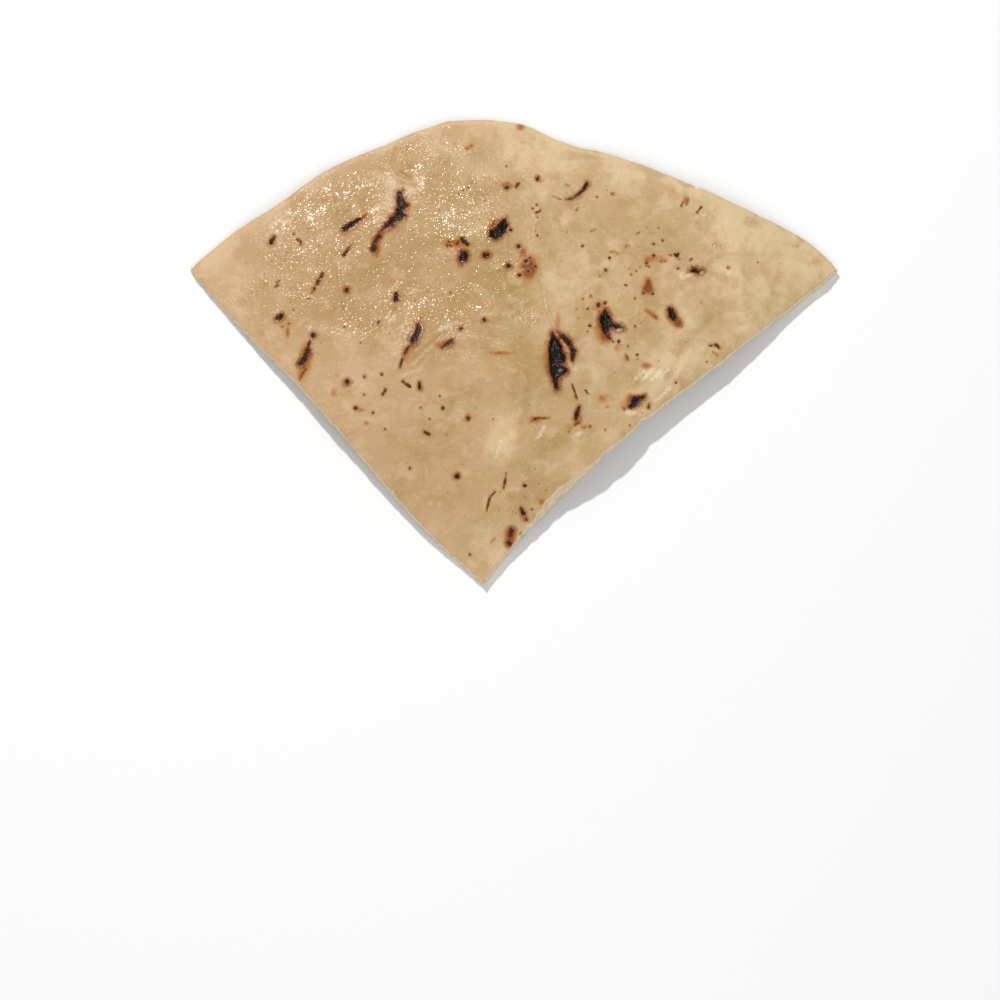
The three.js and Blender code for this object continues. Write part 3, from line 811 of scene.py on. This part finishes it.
# The fields, and what each is where nothing sets it.
FIELDS = {
    "soak": 0.0, "toast": 0.0, "wet": 0.0, "cut": 0.0, "under": 0.0, "grit": 0.0, "sear": 0.0,
    "char": FAR, "brown": FAR, "flake": FAR,
}
MOST_WET = 1.2
LEAST_WET = 0.22  # the butter that lies everywhere


def under_marks():
    """Random toasted spots and freckles for the underside."""
    rng = np.random.default_rng(77)
    low, high = (np.array(corner[:2]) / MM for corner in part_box(NODE))
    spots = rng.uniform(low, high, (UNDER_SPOTS, 2))
    sizes = rng.uniform(1.5, 6, UNDER_SPOTS)
    amounts = rng.uniform(0.25, 1.0, UNDER_SPOTS)
    toasts = [(*spot, size, amount) for spot, size, amount in zip(spots, sizes, amounts)]
    dots = rng.uniform(low, high, (UNDER_FRECKLES, 2))
    radii = rng.uniform(0.2, 0.9, UNDER_FRECKLES)
    return toasts, [[(*dot, radius)] for dot, radius in zip(dots, radii)]


def scorch_fields(points):
    """The signed distance to the nearest scorch, how ragged its edge is and how black its char."""
    char = np.full(len(points), FAR)
    grit = np.zeros(len(points))
    sear = np.zeros(len(points))
    for rise, half_width, distance in scorch_distances(points):
        nearer = distance < char
        char[nearer] = distance[nearer]
        grit[nearer] = min(0.25 + 0.4 * half_width, 0.9)
        sear[nearer] = min(2.9 * rise - 0.1, 1)
    return {"char": char, "grit": grit, "sear": sear}


def dressing_fields(points):
    """The toasted, brown, flaked, soaked and wet places."""
    return {
        "toast": bells(points, TOASTS, fall=1.3),
        "brown": marks_distance(points, BROWN_MARKS),
        "flake": marks_distance(points, FLAKES),
        "soak": bells(points, SOAKS),
        "wet": np.clip(bells(points, WET_SPOTS), 0, MOST_WET),
    }


def surface_fields(vertices, layer):
    """The named values at each vertex that the material reads."""
    fields = {name: np.full(len(vertices), start) for name, start in FIELDS.items()}
    crust, wall, foot = layer["crust"], layer["wall"], layer["foot"]
    above = {**scorch_fields(layer["layout"]), **dressing_fields(layer["layout"])}
    for name, values in above.items():
        fields[name][: len(values)] = values

    fields["cut"][wall] = layer["wall_cut"]
    rows, columns = grid_ring(TOP_CELLS)
    edge = rows * (TOP_CELLS + 1) + columns
    fields["cut"][edge] = 0.5 * layer["wall_cut"][: len(edge)]
    # The rim is painted paler, partly as a paler crust and partly as painted glare and light that offsets
    # its shade: the crust's last rows and last columns run along it.
    row, column = np.divmod(crust, TOP_CELLS + 1)
    cells_in = TOP_CELLS - np.maximum(row, column)
    fields["soak"][crust] -= RIM_PALING_AND_GLARE * np.exp(-cells_in / RIM_GLARE_CELLS)
    fields["soak"][wall] -= RIM_PALING_AND_GLARE * (1 - layer["wall_cut"])

    spots, freckles = under_marks()
    points = vertices[foot, :2]
    fields["toast"][foot] = bells(points, spots) * (0.7 + 0.5 * smooth_noise(points, 3, 71))
    fields["brown"][foot] = marks_distance(points, freckles)
    fields["soak"][foot] = -0.3 + 0.5 * smooth_noise(points, 20, 72)
    fields["under"][foot] = 1
    fields["under"][wall] = smoothstep(layer["wall_depth"], 0.55, 1.0)
    return fields


def placed(name, data):
    """A new object of that name, in the scene."""
    thing = bpy.data.objects.new(name, data)
    bpy.context.scene.collection.objects.link(thing)
    return thing


def build_slice():
    vertices, faces, layer = slice_mesh()
    mesh = bpy.data.meshes.new("naan_crust")
    mesh.from_pydata((vertices * MM).tolist(), [], faces)
    mesh.validate()
    mesh.shade_smooth()
    for name, values in surface_fields(vertices, layer).items():
        attribute = mesh.attributes.new(name, "FLOAT", "POINT")
        attribute.data.foreach_set("value", values.astype(np.float32))
    return placed("naan_crust", mesh)


# ---- The material.


class Graph:
    """A thin layer over a material's nodes, so that a formula reads as one."""

    def __init__(self, name):
        self.material = bpy.data.materials.new(name)
        self.material.use_nodes = True
        self.tree = self.material.node_tree
        self.tree.nodes.clear()
        self.position = self.add("ShaderNodeTexCoord").outputs["Object"]

    def add(self, kind, feeds=(), **settings):
        """A node with those settings, whose inputs are fed by name or by place."""
        node = self.tree.nodes.new(kind)
        for name, value in settings.items():
            setattr(node, name, value)
        for name, value in dict(feeds).items():
            self.feed(node.inputs[name], value)
        return node

    def feed(self, socket, value):
        """Links a socket or sets its value. A text is the name of one of the COLOURS."""
        if isinstance(value, bpy.types.NodeSocket):
            self.tree.links.new(value, socket)
        else:
            socket.default_value = linear_colour(COLOURS[value]) if isinstance(value, str) else value

    def math(self, operation, *values, clamp=False):
        node = self.add("ShaderNodeMath", enumerate(values), operation=operation, use_clamp=clamp)
        return node.outputs[0]

    def field(self, name):
        return self.add("ShaderNodeAttribute", attribute_name=name).outputs["Fac"]

    def noise(self, millimetres, detail=2.0, roughness=0.5, distortion=0.0):
        """Noise from -1 to 1, with features about that many millimetres across."""
        node = self.add("ShaderNodeTexNoise", {
            "Vector": self.position, "Scale": 1 / (millimetres * MM), "Detail": detail,
            "Roughness": roughness, "Distortion": distortion,
        })
        return self.math("MULTIPLY_ADD", node.outputs[0], 2.0, -1.0)

    def frayed(self, value, amount, *noise):
        """The value plus that amount of a noise."""
        return self.math("MULTIPLY_ADD", self.noise(*noise), amount, value)

    def cells(self, millimetres):
        """Distance to the nearest of scattered points, from 0 at a point."""
        feeds = {"Vector": self.position, "Scale": 1 / (millimetres * MM)}
        return self.add("ShaderNodeTexVoronoi", feeds).outputs["Distance"]

    def band(self, value, low, high, to_low=0.0, to_high=1.0):
        """to_low where value is low or beyond, to_high where it is high or beyond, smooth between."""
        feeds = enumerate((value, low, high, to_low, to_high))
        return self.add("ShaderNodeMapRange", feeds, interpolation_type="SMOOTHSTEP").outputs[0]

    def mix(self, share, first, second):
        feeds = {0: share, 6: first, 7: second}
        return self.add("ShaderNodeMix", feeds, data_type="RGBA", clamp_factor=True).outputs[2]

    def bump(self, height, millimetres, strength=1.0, normal=None):
        feeds = {"Distance": millimetres * MM, "Strength": strength, "Height": height}
        if normal:
            feeds["Normal"] = normal
        return self.add("ShaderNodeBump", feeds).outputs[0]

    def surface(self, feeds):
        """Ends the material with a shader that is fed so."""
        shader = self.add("ShaderNodeBsdfPrincipled", feeds)
        self.add("ShaderNodeOutputMaterial", {"Surface": shader.outputs[0]})
        return self.material


def crust_colour(g, soaked):
    """The bread's colour, from floury cream through tan to butter-soaked, before any scorching. Its pale
    dots are partly painted faint glints.
    """
    colour = g.mix(g.band(soaked, -0.9, 0.1), "dry", "plain")
    colour = g.mix(g.band(soaked, 0.0, 1.1), colour, "buttery")
    film = g.band(g.noise(6.5, 4, 0.55, 0.3), 0.05, 0.30, 0.0, 0.45)
    colour = g.mix(film, colour, "film")
    clear = g.band(g.noise(7.5, 4, 0.55, 0.3), 0.05, 0.30, 0.0, 0.45)
    colour = g.mix(clear, colour, "clear")

    # The left side, which had the most butter and heat, is rosier.
    place = g.add("ShaderNodeSeparateXYZ", {"Vector": g.position})
    leftness = g.frayed(place.outputs["X"], 0.06, 15, 1)
    colour = g.mix(g.band(leftness, 0.02, -0.05, 0.0, 0.35), colour, "rosy")
    # Pale dots: partly paler spots of the crust, partly painted faint glints.
    pale_dots_and_glints = g.band(g.noise(1.0, 3, 0.6), 0.12, 0.42, 0.0, 0.22)
    colour = g.mix(pale_dots_and_glints, colour, "pale dot")
    dark_dots = g.band(g.noise(0.8, 3, 0.6), 0.2, 0.5, 0.0, 0.3)
    return g.mix(dark_dots, colour, "dark dot")


def toasted(g, fields, colour):
    """The colour with its toasted patches and brown marks."""
    toast = g.frayed(fields["toast"], 0.35, 2.4, 3, 0.6)
    colour = g.mix(g.band(toast, 0.05, 0.8, 0.0, 0.9), colour, "toast")
    colour = g.mix(g.band(toast, 0.6, 1.3, 0.0, 0.9), colour, "dark toast")

    ragged = g.frayed(fields["brown"], 0.35, 0.9, 2, 0.6)
    colour = g.mix(g.band(ragged, 0.45, 0.0, 0.0, 0.6), colour, "fringe")
    colour = g.mix(g.band(ragged, 0.1, -0.3, 0.0, 0.85), colour, "brown")

    # A sprinkle of specks too fine to list.
    sprinkle = g.band(g.noise(15, 2), -0.05, 0.3, 0.0, 0.8)
    speck = g.band(g.cells(2.6), 0.12, 0.05)
    return g.mix(g.math("MULTIPLY", speck, sprinkle), colour, "speck")


def scorched(g, fields, colour):
    """The colour with the scorches and their halos, and the mask of the black char."""
    torn = g.frayed(g.noise(1.7, 2, 0.6), 0.8, 0.6, 2, 0.6)
    edge = g.math("MULTIPLY_ADD", torn, fields["grit"], fields["char"])
    large = g.band(fields["grit"], 0.35, 0.75)
    halo = g.frayed(edge, 0.5, 2.6, 2)
    reach = g.math("MULTIPLY_ADD", large, 1.0, 0.42)
    near = g.math("DIVIDE", halo, reach)
    colour = g.mix(g.band(near, 1.3, 0.1, 0.0, 0.65), colour, "halo")
    dark_halo = g.math("MULTIPLY", large, g.band(halo, 1.3, 0.0, 0.0, 0.85))
    colour = g.mix(dark_halo, colour, "dark halo")

    rind = g.mix(fields["sear"], "brown char", "dark char")
    core = g.mix(fields["sear"], "rusty char", "black char")
    colour = g.mix(g.band(edge, 0.2, -0.15, 0.0, 0.96), colour, rind)
    burnt = g.band(edge, -0.15, -0.6)
    return g.mix(burnt, colour, core), burnt


def fine_relief(g, wetness, burnt, pores, cut):
    """The normal of the relief that is too fine for the mesh."""
    pimple = g.cells(0.95)
    round_pimple = g.math("MULTIPLY", pimple, pimple)
    dome = g.math("MULTIPLY", round_pimple, g.band(g.noise(2.6, 1), -0.3, 0.3, -0.2, -1.0))
    normal = g.bump(g.noise(3.0, 2), 0.14)
    normal = g.bump(dome, 0.42, wetness, normal)
    grain = g.math("MULTIPLY_ADD", wetness, 0.7, 0.2, clamp=True)
    normal = g.bump(g.noise(0.8, 2, 0.5), 0.04, grain, normal)
    normal = g.bump(g.noise(1.1, 3, 0.6), 0.26, burnt, normal)
    return g.bump(pores, -0.12, cut, normal)


def naan_material():
    g = Graph("naan_crust")
    fields = {name: g.field(name) for name in FIELDS}
    cloudy = g.math("MULTIPLY", g.noise(12, 3, 0.55, 0.9), 1.2)
    mottled = g.frayed(cloudy, 0.5, 4, 3, 0.6, 0.6)
    soaked = g.math("ADD", fields["soak"], mottled)
    colour = crust_colour(g, soaked)

    # The underside is floury and paler.
    under_grain = g.band(g.noise(6, 4, 0.6), -0.4, 0.5)
    colour = g.mix(fields["under"], colour, g.mix(under_grain, "under", "flour"))
    colour = toasted(g, fields, colour)
    colour, burnt = scorched(g, fields, colour)

    # Pale flakes and the crumb of the cuts. The crumb's pale colour is partly its own and partly painted
    # light that offsets the shade on the cut faces, and its pores are painted darker as shade in the
    # holes.
    flake = g.band(g.frayed(fields["flake"], 1.3, 0.9, 4, 0.7, 0.5), 0.4, -0.6, 0.0, 0.55)
    colour = g.mix(flake, colour, "flake")
    pores = g.band(g.noise(1.1, 3, 0.6), -0.1, 0.5)
    cut = g.band(g.frayed(fields["cut"], 0.35, 1.4, 2), 0.25, 0.9, 0.0, 0.7)
    colour = g.mix(cut, colour, g.mix(pores, "crumb", "pore"))

    # The butter lies in patches, and polishes the crust.
    patchy = g.band(g.noise(6, 3, 0.6), -0.2, 0.4, 0.5, 1.0)
    wetness = g.math("MULTIPLY", g.math("ADD", fields["wet"], LEAST_WET), patchy)
    rough = g.band(soaked, -0.8, 0.9, DRY_ROUGHNESS, SOAKED_ROUGHNESS)
    rough = g.math("MULTIPLY_ADD", wetness, -POLISH, rough)
    rough = g.math("MAXIMUM", rough, LEAST_ROUGHNESS)
    rough = g.mix(burnt, rough, grey(CHAR_ROUGHNESS))
    rough = g.mix(g.math("MAXIMUM", cut, flake), rough, grey(CRUMB_ROUGHNESS))
    rough = g.mix(fields["under"], rough, grey(UNDER_ROUGHNESS))

    return g.surface({
        "Base Color": colour,
        "Roughness": rough,
        "Normal": fine_relief(g, wetness, burnt, pores, cut),
        "IOR": 1.28,
        "Subsurface Weight": 0.12,
        "Subsurface Radius": (1.0, 0.55, 0.25),
        "Subsurface Scale": 2.0 * MM,
    })


# ---- The stage.

def make_camera():
    data = bpy.data.cameras.new("camera")
    camera = placed("camera", data)
    camera.location = Vector(camera_place()) * MM
    camera.rotation_euler = (Vector(AIM) * MM - camera.location).to_track_quat("-Z", "Y").to_euler()
    data.sensor_width = 36
    data.lens = data.sensor_width * VIEW_DISTANCE / VIEW_WIDTH
    data.clip_start, data.clip_end = 0.05, 20
    bpy.context.scene.camera = camera


def make_floor():
    mesh = bpy.data.meshes.new("floor")
    reach = 3.0
    corners = [(-reach, -reach, 0), (reach, -reach, 0), (reach, reach, 0), (-reach, reach, 0)]
    mesh.from_pydata(corners, [], [(0, 1, 2, 3)])
    mesh.materials.append(Graph("floor").surface({"Base Color": grey(0.86), "Roughness": 0.9}))
    floor = placed("floor", mesh)


def area_light(name, place, size, watts):
    """A round lamp that shines from that place on the origin. Both lengths are in metres."""
    data = bpy.data.lights.new(name, "AREA")
    data.shape = "DISK"
    data.size = size
    data.energy = watts
    light = placed(name, data)
    light.location = place
    light.rotation_euler = (-Vector(place)).to_track_quat("-Z", "Y").to_euler()


def make_lights():
    world = bpy.data.worlds.new("studio")
    bpy.context.scene.world = world
    world.use_nodes = True
    sky = world.node_tree.nodes["Background"]
    sky.inputs["Color"].default_value = (0.98, 0.99, 1.0, 1)
    sky.inputs["Strength"].default_value = 0.34
    area_light("key", (-0.33, 0.74, 1.01), 0.07, 12.0)
    area_light("fill", (0.15, -0.8, 0.9), 1.2, 6.6)


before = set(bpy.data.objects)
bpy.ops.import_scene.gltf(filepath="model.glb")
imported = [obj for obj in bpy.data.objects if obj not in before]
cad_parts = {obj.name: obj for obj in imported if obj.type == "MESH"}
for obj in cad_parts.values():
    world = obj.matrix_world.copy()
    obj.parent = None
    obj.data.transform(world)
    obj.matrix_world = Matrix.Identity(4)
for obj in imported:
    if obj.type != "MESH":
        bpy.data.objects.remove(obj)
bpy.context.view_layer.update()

naan = build_slice()
naan.data.materials.append(naan_material())
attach(naan, "root")
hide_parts(NODE)

make_camera()
make_floor()
make_lights()
bpy.context.scene.view_settings.view_transform = "Standard"
